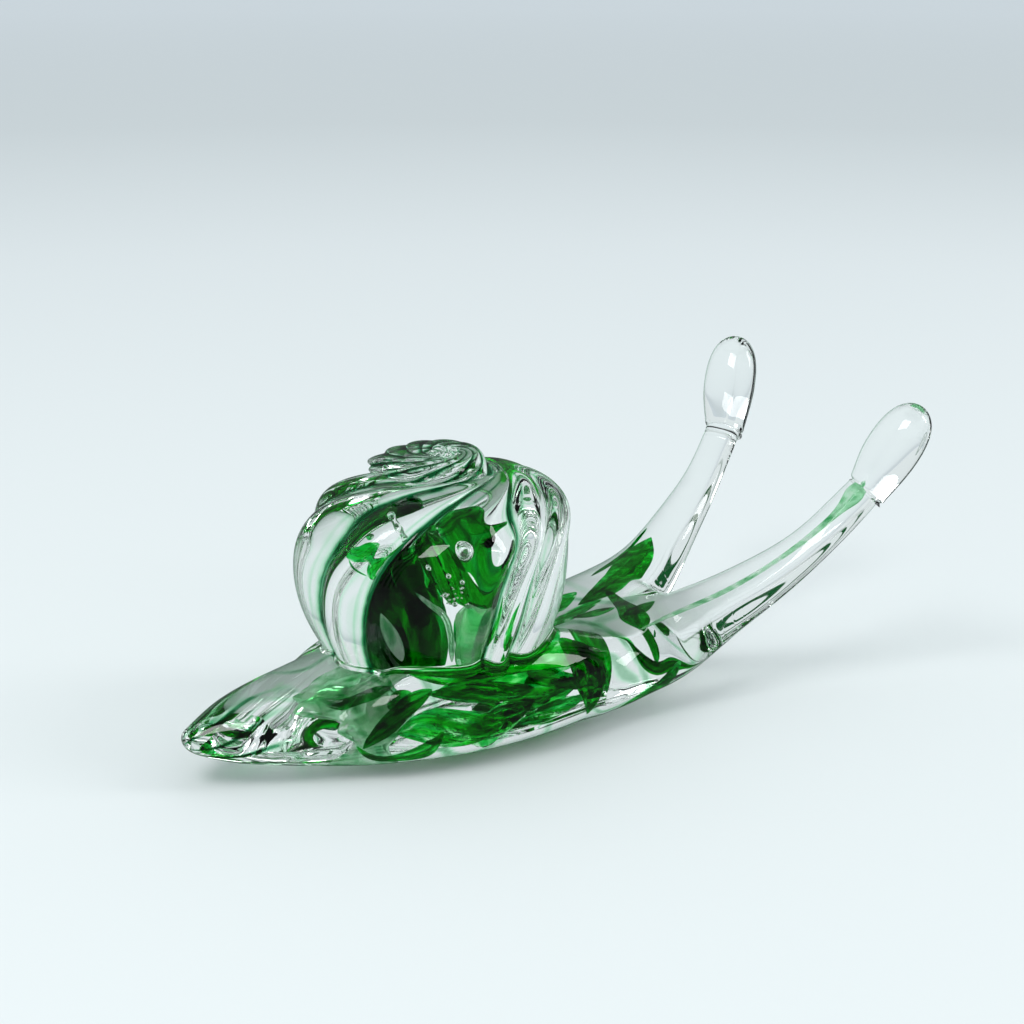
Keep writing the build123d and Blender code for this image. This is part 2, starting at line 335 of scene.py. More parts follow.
cap_steps = 4
weld_reach = 0.002
sliver_reach = 0.001
crease_angle = 50
ball_rounds = 3


def cap(ring, steps=cap_steps):
    """Rings that close a ring of points to its middle."""
    return ring + (ring[:-1].mean(0) - ring) * np.linspace(0, 1, steps)[1:, None, None]


def set_mark(mesh, label, values):
    """A number at each point of a mesh, for the glass to read."""
    mark = mesh.attributes.new(label, "FLOAT", "POINT")
    mark.data.foreach_set("value", values.astype(np.float32).ravel())


def placed(name, data):
    """A new object in the scene."""
    thing = bpy.data.objects.new(name, data)
    bpy.context.scene.collection.objects.link(thing)
    return thing


def finished(name, points, sheets, materials, marks=(), bubbles=()):
    """One closed piece. sheets are (faces, material number); doubled points are merged, faces are
    turned outwards by the volume they hold, and edges sharper than a crease stay sharp. marks
    are (label, values), and bubbles (x, y, z, radius): little round hollows, whose faces look into
    the air inside them."""
    points = np.reshape(points, (-1, 3))
    faces = np.concatenate([f for f, _ in sheets])
    numbers = np.concatenate([np.full(len(f), n) for f, n in sheets])
    mesh = bpy.data.meshes.new(name)
    mesh.vertices.add(len(points))
    mesh.vertices.foreach_set("co", (points * mm).astype(np.float32).ravel())
    mesh.loops.add(faces.size)
    mesh.loops.foreach_set("vertex_index", faces.astype(np.int32).ravel())
    mesh.polygons.add(len(faces))
    mesh.polygons.foreach_set("loop_start", np.arange(0, faces.size, 4, dtype=np.int32))
    mesh.polygons.foreach_set("material_index", numbers.astype(np.int32))
    mesh.update(calc_edges=True)
    for label, values in marks:
        set_mark(mesh, label, values)
    shape = bmesh.new()
    shape.from_mesh(mesh)
    bmesh.ops.remove_doubles(shape, verts=shape.verts, dist=weld_reach * mm)
    bmesh.ops.dissolve_degenerate(shape, edges=shape.edges, dist=sliver_reach * mm)
    bmesh.ops.recalc_face_normals(shape, faces=shape.faces)
    for *middle, radius in bubbles:
        place = Matrix.Translation(Vector(middle) * mm)
        ball = bmesh.ops.create_icosphere(shape, subdivisions=ball_rounds, radius=radius * mm, matrix=place)
        faces_in = {face for vertex in ball["verts"] for face in vertex.link_faces}
        bmesh.ops.reverse_faces(shape, faces=list(faces_in))
    shape.to_mesh(mesh)
    shape.free()
    mesh.shade_smooth()
    mesh.set_sharp_from_angle(angle=np.radians(crease_angle))
    for material in materials:
        mesh.materials.append(material)
    return placed(name, mesh)


class Wire:
    """A shader socket that adds Math nodes when it is used in an expression."""

    def __init__(self, nodes, socket):
        self.nodes = nodes
        self.socket = socket

    def output(self, number):
        """Another output of the same node."""
        return Wire(self.nodes, self.socket.node.outputs[number])

    def _math(self, operation, a, b):
        return self.nodes.add("Math", {"operation": operation}, a, b)

    def __add__(self, other):
        return self._math("ADD", self, other)

    def __rsub__(self, other):
        return self._math("SUBTRACT", other, self)

    def __mul__(self, other):
        return self._math("MULTIPLY", self, other)

    def __gt__(self, other):
        return self._math("GREATER_THAN", self, other)


class Nodes:
    """The node tree of one material or world."""

    def __init__(self, owner):
        owner.use_nodes = True
        self.tree = owner.node_tree
        self.tree.nodes.clear()

    def add(self, kind, settings, *values, out=0, **named):
        """A node of a type: its settings first, then the values or links of its sockets, by order
        or by name. The setting stops fills a colour ramp with places and colours."""
        node = self.tree.nodes.new("ShaderNode" + kind)
        for key, value in settings.items():
            if key == "stops":
                elements = node.color_ramp.elements
                for place, colour in value[2:]:
                    elements.new(place)
                for element, (place, colour) in zip(elements, value):
                    element.position = place
                    element.color = (*colour, 1)
            else:
                setattr(node, key, value)
        sockets = list(zip(node.inputs, values)) + [
            (node.inputs[key.replace("_", " ")], value) for key, value in named.items()
        ]
        for socket, value in sockets:
            if isinstance(value, Wire):
                self.tree.links.new(value.socket, socket)
            elif value is not None:
                socket.default_value = value
        return Wire(self, node.outputs[out])

    def show(self, kind, **shaders):
        """The output node of a material or world, with a shader on each named socket."""
        output = self.tree.nodes.new("ShaderNodeOutput" + kind)
        for name, shader in shaders.items():
            self.tree.links.new(shader.socket, output.inputs[name])


black = (0, 0, 0)
white = (1, 1, 1)
clear_tint = (0.985, 1.0, 0.99, 1)
# Edge on, the glass turns green and darker: partly the green of its depth, and partly painted shade, the dark
# outlines along its edges.
edge_green_and_outline_shade = (0.26, 0.70, 0.40, 1)
edge_stops = ((0.62, black), (0.97, white))
# Tones of the lines in lined glass, from clear over green to near black: real green threads on the foot, and
# painted shade along the grooves of the shell and crown.
line_and_groove_shade_tones = (
    (0.0, white),
    (0.28, (0.40, 0.84, 0.52)),
    (0.55, (0.01, 0.22, 0.05)),
    (0.85, (0.0, 0.015, 0.001)),
)
grain_gain = 1.6
grain_least = 0.3
glass_bend = 1.5


def mixed(nodes, share, first, second, way="MIX"):
    """A colour between two colours, or one laid over the other."""
    kind = {"data_type": "RGBA", "blend_type": way}
    return nodes.add("Mix", kind, share, None, None, None, None, None, first, second, out=2)


def clear_glass(name, masked=False, lined=False):
    """Water-clear glass with the faint ripple of hand work, greener and darker where it is seen edge on:
    partly the green of its depth, and partly painted shade, the dark outline that its edges show.
    Masked glass lets light straight through where the mark fused_on is above zero, because another
    gather sits on it there. Lined glass is darkened in thin lines, from clear over bright green to near
    black as its line mark rises. On the foot these are threads of green drawn into its skin; on the
    shell and crown they are painted shade along the grooves."""
    material = bpy.data.materials.new(name)
    nodes = Nodes(material)
    place = nodes.add("TexCoord", {}, out=3)
    ripple = nodes.add("TexNoise", {}, place, Scale=90.0, Detail=1.0)
    bump = nodes.add("Bump", {}, Strength=0.05, Distance=0.001, Height=ripple)
    # Painted outline shade: the edge tint rises where the surface is seen edge on.
    facing = nodes.add("LayerWeight", {}, 0.5, out=1)
    edge = nodes.add("ValToRGB", {"stops": edge_stops}, facing)
    colour = mixed(nodes, edge, clear_tint, edge_green_and_outline_shade)
    if lined:
        groove = nodes.add("Attribute", {"attribute_name": "green_line"}, out=2)
        grain = nodes.add("TexNoise", {}, place, Scale=160.0, Detail=2.0)
        line = nodes.add("ValToRGB", {"stops": line_and_groove_shade_tones}, groove * (grain * grain_gain + grain_least))
        colour = mixed(nodes, 1.0, colour, line, "MULTIPLY")
    glass = nodes.add(
        "BsdfPrincipled", {}, colour, Roughness=0.0, IOR=glass_bend, Transmission_Weight=1.0,
        Specular_IOR_Level=0.25, Normal=bump,
    )
    if masked:
        mark = nodes.add("Attribute", {"attribute_name": "fused_on"}, out=2)
        open_glass = nodes.add("BsdfTransparent", {}, (*white, 1))
        glass = nodes.add("MixShader", {}, mark > 0.0, glass, open_glass)
    nodes.show("Material", Surface=glass)
    return material


def fused_joint():
    """The joint between two gathers of the same glass, which no light sees."""
    material = bpy.data.materials.new("fused_joint")
    nodes = Nodes(material)
    nodes.show("Material", Surface=nodes.add("BsdfTransparent", {}, (*white, 1)))
    return material


foot_glass = clear_glass("clear_foot_glass", masked=True, lined=True)
plain_glass = clear_glass("clear_drawn_glass")
joint_glass = fused_joint()
limbs = {side: limb(side) for side in (-1, 1)}
parting = body_steps + root_steps - 1
columns = round_steps + 1
foot_points = []
foot_sheets = []
for side in (-1, 1):
    rings = limbs[side][: parting + 1]
    first = len(foot_points) * (parting + cap_steps) * columns
    foot_points.append(np.concatenate((rings, cap(rings[-1]))))
    foot_sheets.append((grid_faces(parting + 1, columns, first), 0))
    foot_sheets.append((grid_faces(cap_steps, columns, first + parting * columns), 1))
foot_piece = finished("foot_glass", np.concatenate(foot_points), foot_sheets, [foot_glass, joint_glass])
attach(foot_piece, "root")
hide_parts("foot")

# Each antenna is the rest of its horn, pulled out hot and bent up. It is the same glass as the
# foot and runs on from it without a step.
sides = {-1: "right", 1: "left"}
for side, word in sides.items():
    stalk = limbs[side][parting:]
    points = np.concatenate((cap(stalk[0])[::-1], stalk, cap(stalk[-1])))
    sheets = [
        (grid_faces(cap_steps, columns), 1),
        (grid_faces(len(stalk), columns, (cap_steps - 1) * columns), 0),
        (grid_faces(cap_steps, columns, (cap_steps + len(stalk) - 2) * columns), 1),
    ]
    piece = finished(word + "_antenna_glass", points, sheets, [plain_glass, joint_glass])
    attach(piece, "root")
    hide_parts(word + "_antenna")

# A drop of clear glass is set on the end of each antenna and crimped there, which leaves a step
# on the outer side.
tip_half_width = 6.9
tip_half_thickness = 5.6

# Drop rows, neck to end: place along it, width and thickness over the greatest
tip_rows = np.array((
    (0.0, 0.75, 0.74),
    (0.12, 0.82, 0.82),
    (0.30, 0.94, 0.94),
    (0.50, 1.00, 1.00),
    (0.70, 0.95, 0.95),
    (0.85, 0.78, 0.79),
    (0.95, 0.50, 0.50),
    (1.0, 0.0, 0.0),
))
tip_ends = {-1: np.array((107.4, -34.3, 64.7)), 1: np.array((109.2, 33.9, 68.4))}
crimp_place = 0.03
crimp_depth = 0.12
crimp_width = 0.016
crease_depth = 0.05
crease_turn = {-1: -2.2, 1: -1.2}
crease_width = 0.10
tip_sag = 0.6
tip_bend_share = 0.35
step_share = 0.6
tip_steps = 70


def bell(off, width, power=2):
    """One in the middle and nothing far off: exp(-(off/width)^power)."""
    return np.exp(-((off / width) ** power))


def drop(side):
    """The antenna's last ring and the rings of its drop: ellipses along a line that starts out in
    the antenna's direction and turns to the drop's own. The crimp and the crease are dents
    exp(-(a/w)^2) at their place along and round it."""
    middle, along, across, up, *_ = horn_frame(np.array((horn_end[side],)), side)
    neck = limbs[side][-1]
    axis = unit(tip_ends[side] - middle[0])
    share = crowded(tip_steps)
    half = spline(np.sqrt(1 - tip_rows[::-1, 0]), tip_rows[::-1, 1:])(np.sqrt(1 - share))
    size = np.linalg.norm(tip_ends[side] - middle[0])
    turn = ramp(share, tip_bend_share)[:, None]
    heading = unit(along[0] * (1 - turn) + axis * turn)
    centre = middle[0] + axis * (share * size)[:, None] - up[0] * tip_sag * (1 - share[:, None]) ** 4
    wide = unit(across[0] - heading * dot(heading, across[0]))
    thick = np.cross(heading, wide)
    thick = thick * np.sign(dot(thick, up[0]))
    turned = np.arctan2(dot(neck - middle[0], up[0])[:, 0], dot(neck - middle[0], across[0])[:, 0])
    half = half * (1 - crimp_depth * bell(share - crimp_place, crimp_width))[:, None]
    off = (turned - crease_turn[side] + np.pi) % (2 * np.pi) - np.pi
    crease = 1 - crease_depth * bell(off, crease_width) * np.sin(np.pi * share[:, None])
    body = (
        centre[:, None]
        + wide[:, None] * (tip_half_width * half[:, :1] * crease * np.cos(turned))[..., None]
        + thick[:, None] * (tip_half_thickness * half[:, 1:] * crease * np.sin(turned))[..., None]
    )
    return neck, body


for side, word in sides.items():
    neck, body = drop(side)
    step = neck[None] + (body[:1] - neck[None]) * step_share
    points = np.concatenate((cap(neck)[::-1], neck[None], step, body))
    sheets = [
        (grid_faces(cap_steps, columns), 1),
        (grid_faces(len(body) + 2, columns, (cap_steps - 1) * columns), 0),
    ]
    piece = finished(word + "_antenna_tip_glass", points, sheets, [plain_glass, joint_glass])
    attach(piece, "root")
    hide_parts(word + "_antenna_tip")

# The shell is a second gather, ribbed in a mould, set on the foot while hot and wrung at the top,
# so its nine ribs wind up to a neck that leans towards the near side of the head.
rib_count = 9
rib_steps = 48
shell_steps = 110
under_steps = 8

# Shell rows: height, radius, twist in degrees, groove depth, share of the neck's shift
shell_rows = np.array((
    (9.0, 19.2, 3.5, 1.0, 0.0),
    (17.0, 23.8, 4.0, 1.6, 0.0),
    (25.0, 27.6, 5.5, 2.0, 0.0),
    (33.0, 29.9, 8.5, 2.3, 0.0),
    (41.0, 30.5, 13.0, 2.6, 0.02),
    (47.5, 29.4, 20.0, 2.9, 0.10),
    (52.5, 25.8, 29.0, 3.0, 0.25),
    (55.8, 20.0, 41.0, 3.0, 0.46),
    (57.3, 13.6, 57.0, 2.7, 0.72),
    (57.8, 9.2, 76.0, 2.0, 0.89),
    (58.1, 6.2, 96.0, 1.2, 1.0),
))
neck_shift = np.array((7.8, -3.6, 0.0))
groove_width = 0.15

# How the hot gather sat down on the foot: its lean, how far up that reaches, and its fillet
seat_lean = np.array((1.7, 2.6, 0.0))
lean_height = 38.0
lean_reach = 20.0
seat_limit = 0.4
rise_power = 1.15
foot_fillet = 1.6
flare_share = 0.8
inside_height = 10.0

# Painted shade in the grooves: dark green lines that stand in for the dark edges the glass shows
# along them, in millimetres and degrees. They are bold round one turn, strong over the near front
# and on the wrung top, and faint elsewhere
line_half_width = 0.9
line_share = 0.11
bold_turn = 174.0
bold_spread = 26.0
bold_share = 0.7
front_turn = 218.0
front_spread = 62.0
faint_share = 0.2
strong_height = 45.0
strong_rise = 8.0

# Thinner lines beside each: place and width over the line's own, and strength
thin_lines = ((3.2, 0.5, 1.0), (-2.4, 0.3, 0.6))
thin_share = 0.5

# Grooves, in degrees round the shell: where hand work left them, and where the mould had set them
pulled_grooves = np.array((0, 40, 80, 120, 171, 200, 229, 256, 271, 318, 360.0))
set_grooves = np.array((0, 40, 80, 120, 160, 200, 219, 240, 280, 320, 360.0))
even_at = spline(np.radians(pulled_grooves), np.radians(set_grooves)[:, None])
wrung_height = 56.5
pulled_height = 11.0
turns = np.linspace(0, 2 * np.pi, rib_count * rib_steps + 1)


def mould_turn(turn, height):
    """The way round in the mould of each turn round the finished shell. The ribs were pulled wider
    and narrower by hand below the wrung top, where they are even."""
    share = ramp(wrung_height - height, pulled_height)
    return turn + (even_at(turn)[..., 0] - turn) * share * share * (3 - 2 * share)


def ribbed(rows, centre):
    """Points at all turns round a wrung gather. rows hold height, radius, twist in degrees and groove
    depth. The radius is less by d(1 - g), g = (sqrt(sin(x)^2 + e^2) - e)/(sqrt(1 + e^2) - e),
    with x half the rib count times the mould's turn, and the whole ring is turned by the twist."""
    height, radius, twist, groove = np.moveaxis(rows[..., :4], -1, 0)
    wave = np.sqrt(np.sin(rib_count * mould_turn(turns, height) / 2) ** 2 + groove_width**2) - groove_width
    crest = wave / (np.sqrt(1 + groove_width**2) - groove_width)
    reach = radius - groove * (1 - crest)
    angle = turns + np.radians(twist)
    return np.stack((reach * np.cos(angle), reach * np.sin(angle), height), -1) + centre


def groove_shade_lines(radius, height, widest, width_share, beside_share):
    """How much painted shade lies at each turn, as dark green lines along the grooves: a line
    exp(-(a/w)^2) in each groove, where a is the way round from it, and thinner ones beside it. w is
    the widest, or a share of the rib where the ribs crowd. The strength is one where the front,
    exp(-(b/s)^4), or the height asks for it."""
    apart = 2 * np.pi / rib_count
    off = ((mould_turn(turns, height) + apart / 2) % apart - apart / 2) * radius
    bold = 1 + bold_share * bell(turns - np.radians(bold_turn), np.radians(bold_spread))
    line_width = np.minimum(widest, width_share * apart * radius) * bold
    beside = 0.0
    for place, width, share in thin_lines:
        beside = beside + share * bell(off - place * line_width, width * line_width)
    front = bell(turns - np.radians(front_turn), np.radians(front_spread), 4)
    top = ramp(height - strong_height, strong_rise)
    strength = faint_share + (1 - faint_share) * np.maximum(front, top)
    return strength * (bell(off, line_width) + beside_share * beside)


def travel(rows):
    """Distance walked along a profile of heights and radii, as a share of the whole."""
    steps = np.hypot(np.diff(rows[:, 0]), np.diff(rows[:, 1]))
    walked = np.concatenate(((0,), np.cumsum(steps)))
    return walked / walked[-1]


shell_at = spline(travel(shell_rows), shell_rows)


def shell_wall(share):
    """Points of the wall at every turn, a share along the profile. The neck is shifted, and the
    lower wall leans where the gather sat down on the foot."""
    row = shell_at(share)
    lean = ramp(lean_height - row[..., :1], lean_reach) ** 2
    centre = row[..., 4:5] * neck_shift + lean * seat_lean
    return ribbed(row, centre)


def foot_top(across_points):
    """The height of the foot's upper surface under or over each point."""
    start = across_points.copy()
    start[..., 2] = inside_height
    return inside_height + reach_out(start, np.broadcast_to(upward, start.shape), highest_rise)


def shell_seat():
    """The share along the profile at which each column of the wall meets the foot."""
    near = np.zeros(len(turns))
    return last_inside(lambda share: foot_gap(shell_wall(share)) < 0, near, near + seat_limit)


seat = shell_seat()
rise = np.linspace(0, 1, shell_steps)[:, None] ** rise_power
wall = shell_wall(seat + (1 - seat) * rise)
seat_ring = wall[0].copy()
away = unit((seat_ring - seat_lean) * (1, 1, 0))
above = length(wall - seat_ring)
flare = np.clip(1 - above / foot_fillet, 0, 1) ** 2
wall += away * foot_fillet * flare_share * flare
settled = foot_top(wall[0])
wall[..., 2] += flare[..., 0] * (settled - wall[0, :, 2])
wall[:, -1] = wall[:, 0]
under = wall[:1] * (1 - np.linspace(0, 1, under_steps + 1)[1:, None, None])
under[..., 2] = foot_top(under)
neck_rows = cap(wall[-1])
shell_points = np.concatenate((under[::-1], wall, neck_rows))
# The wall's line mark holds painted shade: dark green lines along its grooves.
shell_groove_shade = np.zeros(shell_points.shape[:2])
wall_radius = length(wall * (1, 1, 0))[..., 0]
wall_groove_shade = groove_shade_lines(wall_radius, wall[..., 2], line_half_width, line_share, thin_share)
shell_groove_shade[under_steps:under_steps + shell_steps] = wall_groove_shade
ribbed_glass = clear_glass("ribbed_shell_glass", lined=True)

# Gas bubbles in the shell: along the near face, behind it, height and radius. A mist of seeds
# hangs below them.
near_face = -33.0
large_bubbles = (
    (6.1, -16.4, 44.5, 1.50),
    (3.2, -17.5, 41.1, 0.45),
    (5.5, -17.6, 40.2, 0.42),
    (0.1, -17.2, 41.9, 0.40),
    (2.5, -17.9, 37.9, 0.50),
    (4.1, -17.9, 36.2, 0.50),
    (-6.8, -10.5, 46.5, 0.70),
    (13.1, 6.8, 53.5, 0.35),
)
seed_count = 18
draw = np.random.default_rng(7)
seeds = np.column_stack((
    draw.uniform(1.8, 6.2, seed_count),
    draw.uniform(-18.2, -16.6, seed_count),
    draw.uniform(35.8, 39.8, seed_count),
    draw.uniform(0.12, 0.26, seed_count),
))


def turned_round(rows, facing):
    """Rows whose first two numbers lie along and behind a facing, set in the frame."""
    turn = np.radians(facing)
    swing = np.array(((np.cos(turn), np.sin(turn)), (-np.sin(turn), np.cos(turn))))
    return np.column_stack((rows[:, :2] @ swing, rows[:, 2:]))


shell_bubbles = turned_round(np.concatenate((np.array(large_bubbles), seeds)), near_face)
columns = len(turns)
under_faces = grid_faces(under_steps + 1, columns)
wall_faces = grid_faces(shell_steps, columns, under_steps * columns)
neck_faces = grid_faces(cap_steps, columns, (under_steps + shell_steps - 1) * columns)
shell_piece = finished(
    "shell_glass",
    shell_points,
    [(under_faces, 1), (wall_faces, 0), (neck_faces, 1)],
    [ribbed_glass, joint_glass],
    [("green_line", shell_groove_shade)],
    shell_bubbles.tolist(),
)
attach(shell_piece, "root")
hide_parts("shell")

# Marks on the foot: its surface lets light straight through inside the seat of the shell that is
# fused on, and thin lines of green were drawn into its skin, mostly at the tail tip.
seat_turn = np.arctan2(wall[0, :-1, 1], wall[0, :-1, 0])
order = np.argsort(seat_turn)
seat_reach = length(wall[0, :-1] * (1, 1, 0))[:, 0]
foot_mesh = foot_piece.data
places = np.empty(len(foot_mesh.vertices) * 3, np.float32)
foot_mesh.vertices.foreach_get("co", places)
places = places.reshape(-1, 3) / mm
place_turn = np.arctan2(places[:, 1], places[:, 0])
outline = np.interp(place_turn, seat_turn[order], seat_reach[order], period=2 * np.pi)
fused_on = outline - np.hypot(places[:, 0], places[:, 1])
set_mark(foot_mesh, "fused_on", np.where(places[:, 2] > inside_height, fused_on, -1.0))

# Green lines on the foot: height of their axis, places along X where they fade, and strength
flow_height = 9.0
tip_line_end = -36.0
tip_line_rise = 18.0
body_line_ends = (-44.0, 58.0)
body_line_rise = 12.0
body_line_share = 0.4


def flow_lines(points):
    """How much green lies near the surface of the foot: lines exp(-((1 - sin(n a + x/p + v))/w)^2),
    where a is the way round and v is how far they wander. Fine ones are dense at the tail tip,
    and a few broad ones run faintly along the body."""
    x, y, z = points.T
    around = np.arctan2(z - flow_height, y)
    tip = ramp(tip_line_end - x, tip_line_rise)
    wander = 1.4 * np.sin(x / 4.1) + 1.1 * np.sin(x / 7.7 + 2.0 * around)
    fine = bell(1 - np.sin(9 * around + x / 5.0 + wander), 0.16)
    broad = bell(1 - np.sin(4 * around - x / 9.0 + wander + 1.0), 0.10)
    start, end = body_line_ends
    body = ramp(x - start, body_line_rise) * ramp(end - x, body_line_rise)
    return fine * tip**1.3 + body_line_share * broad * np.clip(body + tip, 0, 1)


set_mark(foot_mesh, "green_line", flow_lines(places))

# The crown is the wrung end of the ribs, folded over towards the tail and flattened. Where it
# folded over, one side's pleats closed up and one lobe swelled.

# Crown rows: height, radius, twist in degrees, groove depth, share of the way folded over
crown_rows = np.array((
    (58.1, 6.2, 96.0, 1.2, 0.0),
    (58.15, 7.8, 116.0, 1.3, 0.20),
    (58.35, 10.0, 142.0, 1.4, 0.56),
    (58.9, 11.5, 168.0, 1.3, 0.88),
    (60.0, 12.0, 190.0, 1.2, 1.0),
    (61.3, 11.0, 208.0, 1.3, 0.98),
    (62.0, 8.6, 236.0, 1.4, 0.86),
    (62.1, 5.8, 276.0, 1.1, 0.72),
    (61.9, 3.4, 330.0, 0.8, 0.62),
))
crown_shift = np.array((-1.0, 0.6, 0.0))
crown_tilt = np.array((0.07, 0.025))
crown_steps = 90
crown_cap_steps = 6
crown_line_width = 1.3
crown_line_share = 0.17
fold_turn = 120.0
fold_loss = 0.75
lobe_turn = 150.0
lobe_swell = 1.3
lobe_width = 0.2
crown_at = spline(travel(crown_rows), crown_rows)
row = crown_at(np.linspace(0, 1, crown_steps)[:, None] * np.ones(columns))
toward = turns + np.radians(row[..., 2])
folded = row[..., 4]
row[..., 3] *= 1 - fold_loss * folded * (0.5 - 0.5 * np.cos(toward - np.radians(fold_turn)))
lobe = bell(np.sin((toward - np.radians(lobe_turn)) / 2), lobe_width)
row[..., 1] += lobe_swell * np.clip(folded, 0, 1) * lobe
centre = neck_shift + (crown_shift - neck_shift) * folded[..., None]
crown_wall = ribbed(row, centre)
crown_wall[..., 2] += folded * np.sum((crown_wall - crown_shift)[..., :2] * crown_tilt, -1)
crown_wall[:, -1] = crown_wall[:, 0]
crown_wall[0] = wall[-1]
crown_neck = neck_rows[::-1]
crown_top = cap(crown_wall[-1], crown_cap_steps)
crown_points = np.concatenate((crown_neck, crown_wall, crown_top))
first = len(crown_neck)
# The crown's grooves get the same painted shade lines as the shell's.
crown_groove_shade = np.zeros(crown_points.shape[:2])
crown_groove_shade[first:first + crown_steps] = groove_shade_lines(
    row[..., 1], row[..., 0], crown_line_width, crown_line_share, 0.0
)
crown_piece = finished(
    "crown_glass",
    crown_points,
    [
        (grid_faces(cap_steps, columns), 1),
        (grid_faces(crown_steps, columns, first * columns), 0),
        (grid_faces(crown_cap_steps, columns, (first + crown_steps - 1) * columns), 1),
    ],
    [ribbed_glass, joint_glass],
    [("green_line", crown_groove_shade)],
)
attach(crown_piece, "root")
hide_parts("crown")

# The seal is the little rosette of clear glass on the crown, where the gather was broken off its
# rod and the stub was melted smooth in a flame.
seal_height = 0.7
seal_steps = 24
ruffle_share = 0.25
ruffle_twist = 5
dome = np.linspace(0, 1, seal_steps)[:, None, None]
ring = crown_wall[-1]
middle = ring[:-1].mean(0)
seal_wall = ring + (middle - ring) * dome**1.3
ruffle = 1 + ruffle_share * np.cos(rib_count * turns + ruffle_twist * dome[..., 0])
seal_wall[..., 2] += seal_height * np.sin(np.pi * np.clip(dome[..., 0] * 1.1, 0, 1)) * ruffle
seal_piece = finished(
    "crown_seal_glass",
    np.concatenate((crown_top[::-1], seal_wall)),
    [
        (grid_faces(crown_cap_steps, columns), 1),
        (grid_faces(seal_steps, columns, (crown_cap_steps - 1) * columns), 0),
    ],
    [plain_glass, joint_glass],
)
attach(seal_piece, "root")
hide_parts("crown_seal")

# Bits of green glass were picked up hot and cased under the clear glass, where they ran out into
# petals, veils and threads. Each is a soft ribbon, thin at its rim and thick in its middle.
ribbon_steps = 64
section_steps = 48
section_turns = np.linspace(0, 2 * np.pi, section_steps + 1)


def ribbon(rows, facing, wide, folds):
    """Points on one ribbon, rings by columns. rows hold place, half width, half thickness and any
    roll in degrees, in a frame turned about the upright by facing. A section is
    wide w cos(a) + thick (t b sin(a) + f sin(n cos(a) + p s)), where folds are f, n and p, s runs
    from 0 to 1 along it, b = 0.6 + 0.4 sin(2n cos(a) + 2p s + 1) makes it thick and thin in
    stripes, and both ends are drawn to a point by sqrt(1 - (2s - 1)^8). Folds are lower where
    the half width is under 2."""
    rows = turned_round(np.array([(*row, 0.0)[:6] for row in rows]), facing)
    steps = np.linalg.norm(np.diff(rows[:, :3], axis=0), axis=1)
    walked = np.concatenate(((0,), np.cumsum(steps)))
    at = spline(walked / walked[-1], rows)
    share = crowded(ribbon_steps)
    line = at(share)
    along = unit(at(np.clip(share + 0.01, 0, 1))[:, :3] - at(np.clip(share - 0.01, 0, 1))[:, :3])
    reference = turned_round(np.asarray((wide,), float), facing)[0]
    across = unit(reference - along * dot(along, reference))
    thick = np.cross(along, across)
    roll = np.radians(line[:, 5:6])
    across, thick = across * np.cos(roll) + thick * np.sin(roll), thick * np.cos(roll) - across * np.sin(roll)
    close = np.sqrt(np.clip(1 - (2 * share - 1) ** 8, 0, 1))[:, None]
    fold, waves, drift = folds
    side = np.cos(section_turns)
    wave = fold * np.sin(waves * side + drift * share[:, None]) * close
    wave = wave * np.minimum(1, line[:, 3:4] / 2)
    stripe = 0.6 + 0.4 * np.sin(2 * waves * side + 2 * drift * share[:, None] + 1)
    height = np.abs(line[:, 4:5]) * stripe * np.sin(section_turns) * close + wave
    reach = line[:, 3:4] * side * close
    return line[:, None, :3] + across[:, None] * reach[..., None] + thick[:, None] * height[..., None]


def green_glass(name, stretch, thin, middling, thick, clarity, depth, density):
    """Coloured glass, transparent or a little milky. Light loses colour along its way through it,
    and streaks of thinner and thicker colour run along its flow."""
    material = bpy.data.materials.new(name)
    nodes = Nodes(material)
    place = nodes.add("TexCoord", {}, out=3)
    flow = nodes.add("Mapping", {}, place, None, None, stretch)
    streaks = nodes.add("TexNoise", {}, flow, Scale=300.0, Detail=5.0, Distortion=1.0)
    colour = nodes.add("ValToRGB", {"stops": ((0.38, thin), (0.47, middling), (0.66, thick))}, streaks)
    glass = nodes.add("BsdfPrincipled", {}, colour, Roughness=0.0, IOR=1.03, Transmission_Weight=clarity)
    volume = nodes.add("VolumeAbsorption", {}, (*depth, 1), density)
    nodes.show("Material", Surface=glass, Volume=volume)
    return material


standing = (1.7, 1.7, 0.45)
drawn = (0.5, 1.2, 1.6)
emerald_tones = {
    "thin": (0.92, 1.0, 0.92), "middling": (0.012, 0.54, 0.10), "thick": (0.0, 0.16, 0.025),
    "clarity": 1.0, "depth": (0.0, 0.95, 0.15), "density": 1500.0,
}
deep_tones = {
    "thin": (0.10, 0.66, 0.20), "middling": (0.003, 0.32, 0.055), "thick": (0.0, 0.07, 0.01),
    "clarity": 1.0, "depth": (0.0, 0.90, 0.10), "density": 2000.0,
}
milky_tones = {
    "thin": (0.97, 1.0, 0.97), "middling": (0.66, 0.94, 0.72), "thick": (0.10, 0.52, 0.20),
    "clarity": 0.75, "depth": (0.3, 0.93, 0.5), "density": 350.0,
}
emerald_core = green_glass("emerald_petals", standing, **emerald_tones)
deep_core = green_glass("deep_emerald_petals", standing, **deep_tones)
milky_core = green_glass("milky_green_petals", standing, **milky_tones)
emerald = green_glass("emerald_streaks", drawn, **emerald_tones)
deep = green_glass("deep_emerald_streaks", drawn, **deep_tones)
milky = green_glass("milky_green_streaks", drawn, **milky_tones)
upright = (1, 0, 0)
lying = (0, 1, 0)


